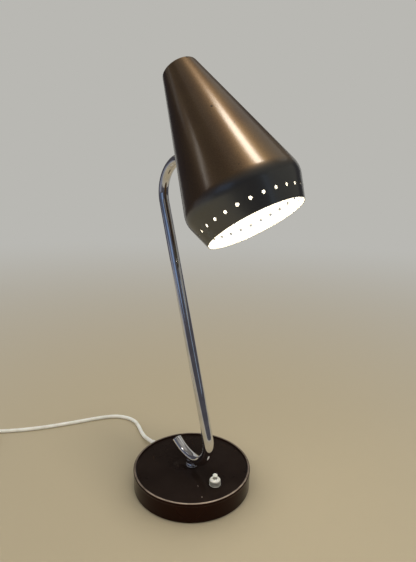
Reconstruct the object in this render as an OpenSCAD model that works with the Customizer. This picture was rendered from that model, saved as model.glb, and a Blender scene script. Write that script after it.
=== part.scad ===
// Desk lamp with a bent tube stem.
// A weighted round base carries a swivelling swan-neck tube. A two-axis knuckle
// at the top of the tube holds a spun cone shade with a ring of vent holes.
//
// +X is the way the lamp faces, +Z is up. The origin is the middle of the
// base's underside, where the lamp stands on the table. Units are millimetres.

/* [Base] */
// Diameter of the base
base_d = 150; // [140:1:180]
// Height of the base from the table to the top of its rim
base_h = 25; // [24:0.5:26]
// Thickness of the pressed steel shell
shell_t = 1.5; // [1:0.1:2]
// Radius of the rolled bead round the rim
bead_r = 1.6; // [1.2:0.1:2]
// Depth of the top plate below the rim
plate_drop = 2.5; // [2:0.1:3.5]
// Thickness of the felt under the base
felt_t = 2; // [1.5:0.1:2]
// Distance of the switch from the middle of the base
switch_at = 46.5; // [40:0.5:56]

/* [Stem] */
// Outer diameter of the bent tube
tube_d = 13; // [12:0.5:14]
// Wall thickness of the tube
tube_t = 1; // [0.8:0.1:1.5]
// Height of the tube's centre line where it sits in the saddle
tube_low_z = 34; // [33:0.5:38]
// Bend radius of the free tail
tail_r = 64; // [60:1:90]
// Angle of the free tail
tail_angle = 33; // [20:1:36]
// Bend radius of the hook between the saddle and the straight stem
hook_r = 32.5; // [30:0.5:36]
// Backward lean of the straight stem
stem_lean = 18.5; // [10:0.5:20]
// Length of the straight stem
stem_len = 297; // [220:1:320]
// Bend radius of the neck at the top
neck_r = 38.4; // [34:0.2:44]

/* [Shade] */
// Radius of the shade's mouth
mouth_r = 54.9; // [52:0.1:58]
// Radius of the shade's shoulder, where cone and band would meet in a corner
shoulder_r = 65.7; // [64:0.1:70]
// Radius of the shade's closed top
top_r = 20.5; // [19:0.1:24]
// Height of the band between mouth and shoulder
band_h = 32.4; // [30:0.1:36]
// Height of the cone above the shoulder
cone_h = 157.5; // [150:0.5:170]
// Radius that rounds the shoulder
shoulder_round = 26; // [10:1:30]
// Thickness of the spun aluminium
shade_t = 1; // [0.8:0.1:1.5]
// Number of vent holes in the band
vent_count = 28; // [16:1:32]
// Diameter of a vent hole
vent_d = 3.4; // [3:0.1:5]
// Height of the vent holes above the mouth
vent_h = 13.1; // [9:0.1:18]

/* [Knuckle] */
// Distance from the end of the tube to the tilt pivot
fork_reach = 9.2; // [9:0.1:12]
// Distance from the tilt pivot to the outside of the shade
knuckle_reach = 9; // [9:0.1:12]
// Height of the knuckle's stud above the mouth, along the shade's axis
mount_height = 112; // [108:1:118]
// Slope of the stud as the shade is posed
stud_slope = 14.1; // [0:0.1:30]
// Turn of the shade about the stud as it is posed
shade_turn = 9.6; // [-30:0.1:30]

/* [Cord] */
// Diameter of the mains cord
cord_d = 5.5; // [5:0.1:6]
// Height of the cord where it leaves the base
cord_exit_z = 8; // [7.5:0.1:9]

/* [Hidden] */
$fn = 64;

// Clearance of a shaft that turns in its hole
running = 0.05;
// Gap between two flat faces that turn against each other
face_gap = 0.1;
// Overlap of a cutting shape past the face that it cuts
cut = 1;

// Base
base_r = base_d / 2;
shell_foot = 1;
shell_in = base_r - shell_t;
plate_z = base_h - plate_drop;
plate_under = plate_z - shell_t;
rim_in = base_r - 2 * bead_r;
weight_r = shell_in - 1.5;
weight_ring_in = 60;
web_t = 8;
web_z = plate_under - web_t;
hub_r = 16;
hub_z = 9;
rib_t = 4;
spigot_r = 5;
wire_bore = 6;

// Saddle and its collar ring
ring_r = 8;
ring_h = 3;
ring_top = plate_z + ring_h;
saddle_r = 7.3;
saddle_z = ring_top + 0.2;
spigot_z = 3;
nut_h = 4.5;
washer_h = 1;

// Switch
collar_r = 6.9;
collar_wall_h = 7;
collar_h = 8.6;
switch_neck_r = 5;
switch_neck_z = plate_z + 4.5;
plunger_r = 2;
plunger_flange_r = 3.5;
cap_r = 3;
cap_z = plate_z + 11.2;
cap_h = 3.2;
knurls = 36;
housing_r = 8.5;
housing_z = 5;
cavity_r = 4;
cavity_z = 9;
cavity_top = plate_under - 2;

// Tube: where its stretches meet, in the XZ plane
tube_r = tube_d / 2;
tube_bore = tube_d - 2 * tube_t;
stem_foot = [hook_r * cos(stem_lean), tube_low_z + hook_r * (1 + sin(stem_lean))];
stem_head = stem_foot + stem_len * [-sin(stem_lean), cos(stem_lean)];
neck_centre = stem_head + neck_r * [cos(stem_lean), sin(stem_lean)];
neck_x = neck_centre[0];
neck_z = neck_centre[1] + neck_r;
seam_gap = 0.6;
seam_half = 2;
flex_d = 4;
seam_r = tube_r + 0.12;

// Knuckle
pivot_x = neck_x + fork_reach;
pivot_r = 2;
fork_flange = 3;
cheek_r = 5.2;
cheek_t = 2.7;
lug_r = 5;
slot_w = 5;
lug_w = 4.8;
cheek_y = slot_w / 2 + cheek_t;
fork_bore = 5;
foot_z = 5.6;
foot_t = 1.3;
foot_r = 6;
stud_r = 3;
stud_len = 20.6;

// Shade
shade_h = band_h + cone_h;
cone_angle = atan((shoulder_r - top_r) / cone_h);
band_angle = atan((shoulder_r - mouth_r) / band_h);
mount_r = shoulder_r - (mount_height - band_h) * tan(cone_angle);
washer_r = 8;
inner_saddle_t = 1.6;
strap_t = 1.5;
strap_w = 14;
strap_from = knuckle_reach + shade_t + inner_saddle_t;
vent_turn = 10;

// Lampholder and bulb, as heights along the shade's axis
holder_z = 172;
nipple_r = 5;
holder_r = 19.5;
holder_mouth = 122;
holder_split = 148;
thread_r = 13.6;
bulb_r = 27.5;
bulb_mid = 77;
bulb_neck_r = 12.8;
glass_t = 0.9;

// Free cord. Its route lies on the table and ends in a coil with a plug beside it.
relief_end = -97;
inner_cord_end = -44;
cord_sides = 10;
lay_z = cord_d / 2;
coil_at = [-259.5, -219.7];
coil_in_r = 22.5;
coil_out_r = 42;
coil_from = 145;
coil_to = 260;
coil_h = 2 * cord_d;
cord_route = [
    [relief_end, 0, cord_exit_z], [-109, 0, 6.6], [-121, 1.5, 4.2], [-133, 4, 2.9],
    [-146, 7.5, lay_z], [-159, 11, lay_z], [-172, 13, lay_z], [-185, 11, lay_z],
    [-197, 5, lay_z], [-207, -4, lay_z], [-214, -16, lay_z], [-219, -29, lay_z],
    [-223, -42, lay_z], [-227, -56, lay_z], [-231, -70, lay_z], [-235.5, -84, lay_z],
    [-240, -98, lay_z], [-245, -112, lay_z], [-251, -126, lay_z], [-257, -139, lay_z],
    [-264, -152, lay_z], [-271, -164, lay_z], [-278.5, -175, lay_z], [-286, -185, lay_z],
    [coil_at[0] + coil_out_r * cos(coil_from), coil_at[1] + coil_out_r * sin(coil_from), lay_z]
];
plug_turn = -10;
plug_mid_z = 7;
plug_at = [-222, -269];
cord_end_route = [
    [coil_at[0] + coil_out_r * cos(coil_to), coil_at[1] + coil_out_r * sin(coil_to), 8],
    [-256, -263, 7.9], [-245, -264.9, 7.5], [-233.5, -267, 7.1],
    [plug_at[0], plug_at[1], plug_mid_z]
];

// ---- Helpers ----

// Points on an arc in a profile
function arc(c, r, from, to, n = 8) =
    [for (i = [0:n]) let (a = from + (to - from) * i / n) [c[0] + r * cos(a), c[1] + r * sin(a)]];

// Points on a cubic curve between a and d, pulled by b and c
function curve(a, b, c, d, n = 8) =
    [for (i = [0:n]) let (t = i / n, s = 1 - t)
        s * s * s * a + 3 * s * s * t * b + 3 * s * t * t * c + t * t * t * d];

// Unit vector
function unit(v) = v / norm(v);

// Direction of a route at its point i
function heading(route, i) =
    unit(route[min(i + 1, len(route) - 1)] - route[max(i - 1, 0)]);

// Points of one ring of a swept tube, square to direction t about point p
function ring(p, t, r, sides) =
    let (s = unit(cross([0, 0, 1], t)), u = cross(t, s))
    [for (k = [0:sides - 1]) let (a = 360 * k / sides - 90) p + r * (cos(a) * s + sin(a) * u)];

// A round tube swept along a route
module sweep(route, d, sides, start = [0, 0, 0], finish = [0, 0, 0]) {
    n = len(route);
    points = [for (i = [0:n - 1])
        let (t = i == 0 && norm(start) > 0 ? start
            : (i == n - 1 && norm(finish) > 0 ? finish : heading(route, i)))
        each ring(route[i], t, d / 2, sides)];
    walls = [for (i = [0:n - 2], k = [0:sides - 1])
        let (a = i * sides + k, b = i * sides + (k + 1) % sides)
        each [[a, a + sides, b + sides], [a, b + sides, b]]];
    first = [for (k = [0:sides - 1]) k];
    last = [for (k = [0:sides - 1]) n * sides - 1 - k];
    polyhedron(points = points, faces = concat(walls, [first], [last]));
}

// A revolved profile
module turned(points) {
    rotate_extrude() polygon(points);
}

// A ring or disc with softened outer edges, standing on z = 0
module soft_ring(r, h, bore, soft) {
    turned(concat(
        [[bore, 0]],
        arc([r - soft, soft], soft, -90, 0, 4),
        arc([r - soft, h - soft], soft, 0, 90, 4),
        [[bore, h]]
    ));
}

// A hexagon nut with a round bore, standing on z = 0
module hex_nut(flats, h, bore) {
    difference() {
        cylinder(d = flats / cos(30), h = h, $fn = 6);
        translate([0, 0, -cut]) cylinder(r = bore, h = h + 2 * cut);
    }
}

// Cross-section of a rod, or of a tube where bore is over 0
module section(d, bore) {
    difference() {
        circle(d = d);
        if (bore > 0) circle(d = bore);
    }
}

// One bend of the tube in the XZ plane
module bend(centre, r, from, to, d, bore) {
    translate([centre[0], 0, centre[1]])
        rotate([90, 0, 0])
            rotate([0, 0, from])
                rotate_extrude(angle = to - from)
                    translate([r, 0]) section(d, bore);
}

// Places a part at the foot of the straight stem, with +Z up the stem
module along_stem() {
    translate([stem_foot[0], 0, stem_foot[1]]) rotate([0, -stem_lean, 0]) children();
}

// Free tail of the tube's path, out to the saddle
module tail_path(d, bore = 0) {
    bend([0, tube_low_z + tail_r], tail_r, 270 - tail_angle, 270 - seam_gap, d, bore);
}

// Hook, straight stem and neck of the tube's path, as a solid rod or hollow
module stem_path(d, bore = 0) {
    along_stem() {
        translate([-hook_r, 0, 0]) rotate([-90, 0, 0])
            rotate_extrude(angle = 90 + stem_lean - seam_gap) translate([hook_r, 0]) section(d, bore);
        linear_extrude(stem_len) section(d, bore);
        translate([neck_r, 0, stem_len]) rotate([90, 0, 180])
            rotate_extrude(angle = 90 + stem_lean) translate([neck_r, 0]) section(d, bore);
    }
}

// Short straight band round the tube over the saddle, where tail and hook meet
module seam_band(r, bore = 0, half = seam_half) {
    translate([-half, 0, tube_low_z]) rotate([0, 90, 0])
        linear_extrude(2 * half) section(2 * r, 2 * bore);
}

// Places a part at the free end of the tail, with +Z out of the tube
module at_tail() {
    translate([-tail_r * sin(tail_angle), 0, tube_low_z + tail_r * (1 - cos(tail_angle))])
        rotate([0, tail_angle - 90, 0]) children();
}

// Places a part on the tilt pivot, with +Z along the pin
module at_pivot() {
    translate([pivot_x, 0, neck_z]) rotate([-90, 0, 0]) children();
}

// Places a part on the stud, with +X from the pivot into the shade
module along_stud() {
    translate([pivot_x, 0, neck_z]) rotate([0, -stud_slope, 0]) rotate([shade_turn, 0, 0]) children();
}

// Places a turned part on the stud, with +Z from the pivot into the shade
module on_stud(at) {
    along_stud() translate([at, 0, 0]) rotate([0, 90, 0]) children();
}

// Places a part in the shade, with the origin in the mouth and +Z up the shade's axis
module in_shade() {
    along_stud() translate([knuckle_reach, 0, 0]) rotate([0, -cone_angle, 0])
        translate([mount_r, 0, -mount_height]) children();
}

// ---- Base ----

// Pressed shell with a rolled rim and a sunken top plate
module base_shell() {
    color([0.11, 0.09, 0.08])
    difference() {
        turned(concat(
            [[spigot_r + 0.6, plate_under], [shell_in - 1, plate_under], [shell_in, plate_under - 1],
             [shell_in, shell_foot], [base_r - 0.3, shell_foot], [base_r, shell_foot + 0.3]],
            arc([base_r - bead_r, base_h - bead_r], bead_r, 0, 180, 12),
            arc([rim_in - 0.6, plate_z + 0.6], 0.6, 0, -90, 4),
            [[spigot_r + 0.6, plate_z]]
        ), $fn = 128);
        translate([switch_at, 0, plate_under - cut])
            cylinder(r = switch_neck_r + 0.2, h = shell_t + 2 * cut);
        translate([-base_r - cut, 0, cord_exit_z])
            rotate([0, 90, 0]) cylinder(d = 9.2, h = 2 * shell_t + 2 * cut);
    }
}

// Cast iron dish: a heavy rim, a web, a hub and six ribs
module base_weight() {
    color([0.2, 0.2, 0.21])
    difference() {
        union() {
            turned([
                [spigot_r + 0.3, plate_under], [weight_r, plate_under], [weight_r, felt_t],
                [weight_ring_in + 1, felt_t], [weight_ring_in, web_z],
                [hub_r + 1, web_z], [hub_r, hub_z], [spigot_r + 0.3, hub_z]
            ]);
            for (a = [30:60:330])
                rotate([0, 0, a])
                    translate([hub_r - 2, -rib_t / 2, web_z - 4])
                        cube([weight_ring_in - hub_r + 2.5, rib_t, 4.5]);
            translate([-58, -11, cord_exit_z + cord_d / 2])
                cube([13, 22, web_z - cord_exit_z - cord_d / 2 + 0.5]);
        }
        translate([switch_at, 0, felt_t])
            cylinder(r = housing_r + 1.5, h = base_h);
        translate([-base_r, -6.2, felt_t - cut])
            cube([base_r - weight_ring_in + 2, 12.4, cord_exit_z + 6.2 - felt_t + cut]);
    }
}

// Felt disc that the lamp stands on
module base_felt() {
    color([0.12, 0.2, 0.15])
    cylinder(r = shell_in - 0.5, h = felt_t, $fn = 128);
}

// Chrome ring between the plate and the turning saddle
module collar_ring() {
    color([0.8, 0.8, 0.82])
    translate([0, 0, plate_z]) soft_ring(ring_r, ring_h, spigot_r + running, 0.7);
}

// Tapered sleeve where the cord leaves the base
module cord_relief() {
    color([0.9, 0.9, 0.86])
    translate([0, 0, cord_exit_z]) rotate([0, -90, 0])
        turned([
            [cord_d / 2, 71.2], [5.6, 71.2], [5.6, 72.8], [4.5, 72.8], [4.5, base_r],
            [5.6, base_r], [5.6, 76.4], [4.7, 77.4],
            [4.5, 81], [4.0, 81], [4.0, 82.2], [4.4, 82.2],
            [4.2, 85.6], [3.7, 85.6], [3.7, 86.8], [4.1, 86.8],
            [3.9, 90.2], [3.5, 90.2], [3.5, 91.4], [3.8, 91.4],
            [3.5, -relief_end], [cord_d / 2, -relief_end]
        ]);
}

// The cord inside the base, from the sleeve to the connector block
module inner_cord() {
    color([0.92, 0.92, 0.88])
    translate([relief_end, 0, cord_exit_z])
        rotate([0, 90, 0]) cylinder(d = cord_d, h = inner_cord_end - relief_end);
}

// Steel strap that holds the cord under the weight
module cord_clamp() {
    color([0.7, 0.7, 0.72])
    difference() {
        translate([-55, 0, 0]) union() {
            translate([0, 0, cord_exit_z]) rotate([0, 90, 0]) cylinder(r = lay_z + 1.2, h = 7);
            translate([0, -10, cord_exit_z + cord_d / 2 - 1.2]) cube([7, 20, 1.2]);
        }
        translate([-56, 0, cord_exit_z]) rotate([0, 90, 0]) cylinder(r = lay_z, h = 9);
        translate([-56, -lay_z, cord_exit_z]) cube([9, cord_d, 9]);
        translate([-56, -12, cord_exit_z + cord_d / 2]) cube([9, 24, 9]);
        for (y = [-7, 7])
            translate([-51.5, y, 0]) cylinder(r = 1.6, h = 20);
    }
}

// The clamp's two screws
module clamp_screws() {
    color([0.75, 0.75, 0.77])
    for (y = [-7, 7])
        translate([-51.5, y, cord_exit_z + cord_d / 2 - 1.2]) {
            translate([0, 0, -1.8]) cylinder(r = 2.7, h = 1.8);
            translate([0, 0, -0.5]) cylinder(r = 1.5, h = 1.7);
        }
}

// Two-way terminal block under the weight's web
module connector_block() {
    color([0.93, 0.92, 0.88])
    difference() {
        translate([-43, -9, 4]) cube([19, 18, web_z - 4]);
        for (y = [-4.5, 4.5]) {
            translate([-45, y, cord_exit_z]) rotate([0, 90, 0]) cylinder(r = 1.6, h = 30);
            for (x = [-38, -29])
                translate([x, y, 3]) cylinder(r = 1.7, h = cord_exit_z - 3);
        }
    }
}

// ---- Switch ----

// Switch body under the plate with its threaded neck
module switch_housing() {
    color([0.9, 0.89, 0.84])
    translate([switch_at, 0, 0])
        turned([
            [0, housing_z], [housing_r - 0.6, housing_z], [housing_r, housing_z + 0.6],
            [housing_r, plate_under], [switch_neck_r, plate_under], [switch_neck_r, switch_neck_z],
            [plunger_r + running, switch_neck_z], [plunger_r + running, cavity_top],
            [cavity_r, cavity_top], [cavity_r, cavity_z], [0, cavity_z]
        ]);
}

// Knurled collar nut with a domed top
module switch_collar() {
    dome = collar_h - collar_wall_h;
    color([0.94, 0.93, 0.9])
    translate([switch_at, 0, plate_z])
        difference() {
            intersection() {
                linear_extrude(collar_h)
                    polygon([for (i = [0:2 * knurls - 1])
                        let (a = 180 * i / knurls, r = collar_r - (i % 2) * 0.35)
                        [r * cos(a), r * sin(a)]]);
                turned(concat(
                    [[0, 0], [collar_r - 0.3, 0], [collar_r + 0.1, 0.4], [collar_r + 0.1, collar_wall_h - 0.4],
                     [collar_r - 0.4, collar_wall_h]],
                    curve([collar_r - 0.9, collar_wall_h + 0.1], [collar_r - 1.6, collar_wall_h + 1],
                          [cap_r + 1.6, collar_h], [cap_r + 0.4, collar_h], 6),
                    [[0, collar_h]]
                ));
            }
            translate([0, 0, -cut]) cylinder(r = switch_neck_r, h = switch_neck_z - plate_z + cut);
            cylinder(r = plunger_r + 0.5, h = collar_h + cut);
        }
}

// Return spring under the plunger
module switch_spring() {
    turns = 5;
    steps = 12;
    h = cavity_top - 2 - cavity_z - 0.8;
    route = [for (i = [0:turns * steps])
        let (a = 360 * i / steps)
        [switch_at + 2.4 * cos(a), 2.4 * sin(a), cavity_z + 0.4 + h * i / (turns * steps)]];
    color([0.7, 0.7, 0.72])
    sweep(route, 0.6, 6);
}

// Plunger with its mushroom cap
module push_button() {
    color([0.97, 0.96, 0.93])
    translate([switch_at, 0, 0])
        turned(concat(
            [[0, cavity_top - 2], [plunger_flange_r, cavity_top - 2], [plunger_flange_r, cavity_top - 0.05],
             [plunger_r, cavity_top - 0.05], [plunger_r, cap_z - 0.4], [plunger_r + 0.3, cap_z]],
            arc([cap_r - 0.5, cap_z + 0.5], 0.5, -90, 0, 4),
            arc([cap_r - 1.2, cap_z + cap_h - 1.2], 1.2, 0, 60, 5),
            [[0, cap_z + cap_h]]
        ));
}

// ---- Stem ----

// Turned saddle that hugs the tube, with the hollow spigot that it turns on
module arm_saddle() {
    color([0.8, 0.8, 0.82])
    difference() {
        union() {
            translate([0, 0, saddle_z])
                turned(concat(
                    [[0, 0]],
                    arc([saddle_r - 0.5, 0.5], 0.5, -90, 0, 4),
                    curve([saddle_r, 0.8], [saddle_r - 0.9, 2.2], [saddle_r - 0.9, 3.2], [saddle_r, 5.2], 6),
                    [[saddle_r, tube_low_z - saddle_z - 0.6], [0, tube_low_z - saddle_z - 0.6]]
                ));
            translate([0, 0, spigot_z]) cylinder(r = spigot_r, h = saddle_z - spigot_z + 0.5);
        }
        tail_path(tube_d);
        bend([0, tube_low_z + hook_r], hook_r, 270 - seam_gap, 320, tube_d, 0);
        seam_band(seam_r + 0.02, half = seam_half + 0.1);
        translate([0, 0, spigot_z - cut]) cylinder(d = wire_bore, h = tube_low_z);
    }
}

// Spring washer that gives the stem its drag
module spring_washer() {
    color([0.6, 0.6, 0.62])
    translate([0, 0, hub_z - face_gap - washer_h])
        difference() {
            cylinder(r = 9.5, h = washer_h);
            translate([0, 0, -cut]) cylinder(r = spigot_r, h = washer_h + 2 * cut);
        }
}

// Nut under the base
module stem_nut() {
    color([0.78, 0.66, 0.36])
    translate([0, 0, hub_z - face_gap - washer_h - nut_h]) hex_nut(17, nut_h, spigot_r);
}

// The bent tube, open at both ends
module arm_tube() {
    color([0.82, 0.82, 0.84])
    difference() {
        union() {
            tail_path(tube_d, tube_bore);
            stem_path(tube_d, tube_bore);
            seam_band(seam_r, tube_bore / 2 - 0.1);
        }
        translate([0, 0, tube_low_z - tube_d]) cylinder(d = wire_bore, h = tube_d);
    }
}

// Small plug set into the open tail
module tail_plug() {
    color([0.75, 0.75, 0.78])
    at_tail() translate([0, 0, -4]) soft_ring(tube_bore / 2 - 0.3, 3.2, 0, 0.5);
}

// The two-core flex inside the spigot and the tube
module stem_flex() {
    color([0.85, 0.84, 0.8]) {
        stem_path(flex_d);
        translate([0, 0, spigot_z + 1]) cylinder(d = flex_d, h = tube_low_z - spigot_z - 1);
        translate([0, 0, tube_low_z]) sphere(d = flex_d + 0.6);
    }
}

// ---- Knuckle ----

// Fork brazed into the end of the tube
module knuckle_fork() {
    color([0.8, 0.8, 0.82])
    difference() {
        union() {
            translate([neck_x, 0, neck_z]) rotate([0, 90, 0])
                turned([
                    [0, -5], [5, -5], [5, 0], [tube_r, 0], [tube_r, 1.2],
                    [tube_r - 0.4, 2.2], [tube_r - 1.3, fork_flange], [0, fork_flange]
                ]);
            intersection() {
                union() {
                    translate([0, -cheek_y, 0]) at_pivot() cylinder(r = cheek_r, h = 2 * cheek_y);
                    translate([neck_x + fork_flange - 0.5, -cheek_y, neck_z - cheek_r])
                        cube([fork_reach - fork_flange + 0.5, 2 * cheek_y, 2 * cheek_r]);
                }
                translate([neck_x, 0, neck_z]) rotate([0, 90, 0])
                    cylinder(r = tube_r, h = fork_reach + cheek_r + cut);
            }
        }
        translate([neck_x + fork_flange, -slot_w / 2, neck_z - tube_d])
            cube([fork_reach + tube_d, slot_w, 2 * tube_d]);
        translate([0, -tube_d, 0]) at_pivot() cylinder(r = pivot_r, h = 2 * tube_d);
        translate([neck_x - 6, 0, neck_z]) rotate([0, 90, 0]) cylinder(d = fork_bore, h = 12);
    }
}

// Slotted screw that the shade tilts on
module pivot_screw() {
    color([0.8, 0.8, 0.82])
    difference() {
        union() {
            translate([0, -cheek_y, 0]) at_pivot() cylinder(r = pivot_r, h = 2 * cheek_y + 4.6);
            translate([0, -cheek_y, 0]) at_pivot() rotate([180, 0, 0])
                turned(concat([[0, 0], [3.8, 0], [3.8, 1.1]], arc([2.6, 1.1], 1.2, 0, 60, 4), [[0, 2.3]]));
        }
        translate([pivot_x - 5, -cheek_y - 3, neck_z - 0.5]) cube([10, 1.7, 1]);
    }
}

// Knurled thumb nut that sets the tilt's drag
module pivot_nut() {
    teeth = 20;
    color([0.8, 0.8, 0.82])
    translate([0, cheek_y, 0]) at_pivot()
        difference() {
            intersection() {
                linear_extrude(4)
                    polygon([for (i = [0:2 * teeth - 1])
                        let (a = 180 * i / teeth, r = 5 - (i % 2) * 0.4)
                        [r * cos(a), r * sin(a)]]);
                soft_ring(5.1, 4, 0, 0.6);
            }
            translate([0, 0, -cut]) cylinder(r = pivot_r, h = 6);
        }
}

// Lug between the fork's cheeks, with the foot and the stud that carry the shade
module knuckle_tongue() {
    color([0.8, 0.8, 0.82])
    difference() {
        union() {
            translate([0, -lug_w / 2, 0]) at_pivot() cylinder(r = lug_r, h = lug_w);
            intersection() {
                translate([pivot_x, 0, neck_z]) rotate([0, -stud_slope, 0])
                    translate([0, -lug_w / 2, -3.6]) cube([foot_z + 0.5, lug_w, 7.2]);
                on_stud(0) cylinder(r = foot_r, h = foot_z + 0.5);
            }
            on_stud(foot_z) soft_ring(foot_r, foot_t, 0, 0.4);
            on_stud(foot_z + 0.5) cylinder(r = stud_r, h = stud_len - foot_z - 0.5);
        }
        translate([0, -lug_w, 0]) at_pivot() cylinder(r = pivot_r + running, h = 2 * lug_w);
    }
}

// Wave washer under the stud's nut
module stud_washer() {
    color([0.6, 0.6, 0.62])
    on_stud(strap_from + strap_t + face_gap)
        difference() {
            cylinder(r = 5.4, h = 1);
            translate([0, 0, -cut]) cylinder(r = stud_r, h = 3);
        }
}

// Nut on the stud inside the shade
module stud_nut() {
    color([0.75, 0.75, 0.77])
    on_stud(strap_from + strap_t + face_gap + 1) hex_nut(10, 4.2, stud_r);
}

// ---- Shade ----

// Outline of the shade from the mouth to the top, drawn in by t from its outside
function shade_line(t) =
    let (
        band_r = mouth_r - t / cos(band_angle),
        cone_r = shoulder_r + band_h * tan(cone_angle) - t / cos(cone_angle),
        z = (cone_r - band_r) / (tan(band_angle) + tan(cone_angle)),
        corner = [band_r + z * tan(band_angle), z],
        half = (band_angle + cone_angle) / 2,
        round_r = shoulder_round - t,
        back = round_r * tan(half),
        from = corner - back * [sin(band_angle), cos(band_angle)],
        centre = from + round_r * [-cos(band_angle), sin(band_angle)],
        top_z = shade_h - t,
        edge = max(1.6 - t, 0.4),
        edge_back = edge * tan((90 - cone_angle) / 2),
        edge_r = cone_r - top_z * tan(cone_angle),
        edge_c = [edge_r - edge_back, top_z - edge]
    )
    concat(
        [[band_r, 0]],
        arc(centre, round_r, -band_angle, cone_angle, 10),
        arc(edge_c, edge, cone_angle, 90, 5),
        [[0, top_z]]
    );

// Solid that fills the shade to t inside its outside
module shade_core(t) {
    turned(concat([[0, -0.01]], [[shade_line(t)[0][0], -0.01]], shade_line(t)), $fn = 128);
}

// Spun cone with its shoulder, its band of vent holes and the stud hole
module shade() {
    outside = shade_line(0);
    inside = shade_line(shade_t);
    n = len(inside);
    color([0.43, 0.31, 0.2])
    in_shade() difference() {
        turned(concat(outside, [for (i = [n - 1:-1:0]) inside[i]]), $fn = 128);
        for (i = [0:vent_count - 1])
            rotate([0, 0, vent_turn + 360 * i / vent_count])
                translate([mouth_r + vent_h * tan(band_angle), 0, vent_h])
                    rotate([0, 90 + band_angle, 0])
                        translate([0, 0, -3]) cylinder(d = vent_d, h = 6, $fn = 24);
        translate([-mount_r, 0, mount_height]) rotate([0, 90 + cone_angle, 0])
            translate([0, 0, -3]) cylinder(r = stud_r + running, h = 8);
    }
}

// Saddle washer: flat to the knuckle, curved to the cone
module saddle_washer() {
    color([0.8, 0.8, 0.82])
    difference() {
        on_stud(foot_z + foot_t + face_gap)
            difference() {
                cylinder(r = washer_r, h = 3);
                translate([0, 0, -cut]) cylinder(r = stud_r + running, h = 6);
            }
        in_shade() shade_core(0);
    }
}

// Spacer between the inside of the cone and the flat strap
module inner_saddle() {
    color([0.7, 0.7, 0.72])
    intersection() {
        on_stud(knuckle_reach)
            difference() {
                cylinder(r = 6.5, h = shade_t + inner_saddle_t);
                translate([0, 0, -cut]) cylinder(r = stud_r + running, h = 6);
            }
        in_shade() shade_core(shade_t);
    }
}

// Bent steel strap from the stud to the lampholder
module holder_bracket() {
    leg = strap_from - knuckle_reach;
    line = function (z, off) -(mount_r - (z - mount_height) * tan(cone_angle) - off / cos(cone_angle));
    low = mount_height - 8;
    color([0.72, 0.72, 0.74])
    in_shade() difference() {
        rotate([90, 0, 0]) translate([0, 0, -strap_w / 2])
            linear_extrude(strap_w)
                polygon([
                    [line(low, leg), low], [line(low, leg + strap_t), low],
                    [line(holder_z - 2, leg + strap_t), holder_z - 2],
                    [line(holder_z, leg + strap_t) + 2, holder_z],
                    [10, holder_z], [10, holder_z + strap_t],
                    [line(holder_z + strap_t, leg) + 2, holder_z + strap_t],
                    [line(holder_z - 1, leg), holder_z - 1]
                ]);
        translate([0, 0, holder_z - cut]) cylinder(r = nipple_r + 0.1, h = 4);
        translate([-mount_r, 0, mount_height]) rotate([0, 90 + cone_angle, 0])
            translate([0, 0, -4]) cylinder(r = stud_r + running, h = 14);
    }
}

// Hollow threaded nipple that the lampholder hangs from
module holder_nipple() {
    color([0.78, 0.66, 0.36])
    in_shade() translate([0, 0, holder_z - 7])
        difference() {
            cylinder(r = nipple_r, h = 13);
            translate([0, 0, -cut]) cylinder(r = 3.2, h = 16);
        }
}

// Nut on top of the bracket
module holder_nut() {
    color([0.78, 0.66, 0.36])
    in_shade() translate([0, 0, holder_z + strap_t]) hex_nut(14, 3, nipple_r);
}

// Domed upper half of the lampholder
module holder_cap() {
    color([0.13, 0.11, 0.1])
    in_shade()
        turned(concat(
            [[nipple_r, holder_z], [8.5, holder_z]],
            curve([8.5, holder_z - 1.5], [9, 163], [17, 164], [18, 156], 8),
            [[18.4, holder_split], [16.4, holder_split]],
            curve([16, 155.5], [15, 162], [8, 161], [nipple_r, 162], 6)
        ));
}

// Lower half of the lampholder
module holder_body() {
    color([0.13, 0.11, 0.1])
    in_shade()
        turned([
            [14.3, holder_mouth], [holder_r - 1.5, holder_mouth], [holder_r, holder_mouth + 1.5],
            [holder_r, holder_mouth + 9], [holder_r - 0.8, holder_mouth + 10],
            [holder_r - 0.8, holder_split - 4], [holder_r, holder_split - 3], [holder_r, holder_split],
            [15, holder_split], [15, holder_split - 2], [14.3, holder_split - 3]
        ]);
}

// Ceramic insert with its contact seat
module holder_insert() {
    color([0.93, 0.92, 0.89])
    in_shade() translate([0, 0, holder_split])
        difference() {
            cylinder(r = 15.8, h = 6);
            for (y = [-9, 9])
                translate([0, y, -cut]) cylinder(r = 1.6, h = 9);
        }
}

// Springy centre contact
module holder_contact() {
    color([0.8, 0.68, 0.38])
    in_shade() rotate([90, 0, 0]) translate([0, 0, -2.5])
        linear_extrude(5)
            polygon([
                [-9, holder_split], [-9, holder_split - 0.6], [-5, holder_split - 0.6],
                [-2, holder_split - 1.6], [2.5, holder_split - 1.6], [2.5, holder_split - 1],
                [-1.8, holder_split - 1], [-5, holder_split]
            ]);
}

// Threaded shell that takes the bulb
module holder_thread() {
    color([0.8, 0.68, 0.38])
    in_shade() translate([0, 0, holder_mouth + 2])
        difference() {
            cylinder(r = thread_r + 0.5, h = holder_split - holder_mouth - 5.2);
            translate([0, 0, -cut]) cylinder(r = thread_r, h = holder_split - holder_mouth);
        }
}

// Metal screw cap of the bulb
module bulb_cap() {
    color([0.8, 0.8, 0.8])
    in_shade()
        turned([
            [0, holder_mouth - 1.5], [bulb_neck_r + 0.4, holder_mouth - 1.5],
            [bulb_neck_r + 0.4, 141], [11, 143.5], [5, 145], [4.6, holder_split - 1.7],
            [0, holder_split - 1.7]
        ]);
}

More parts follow.
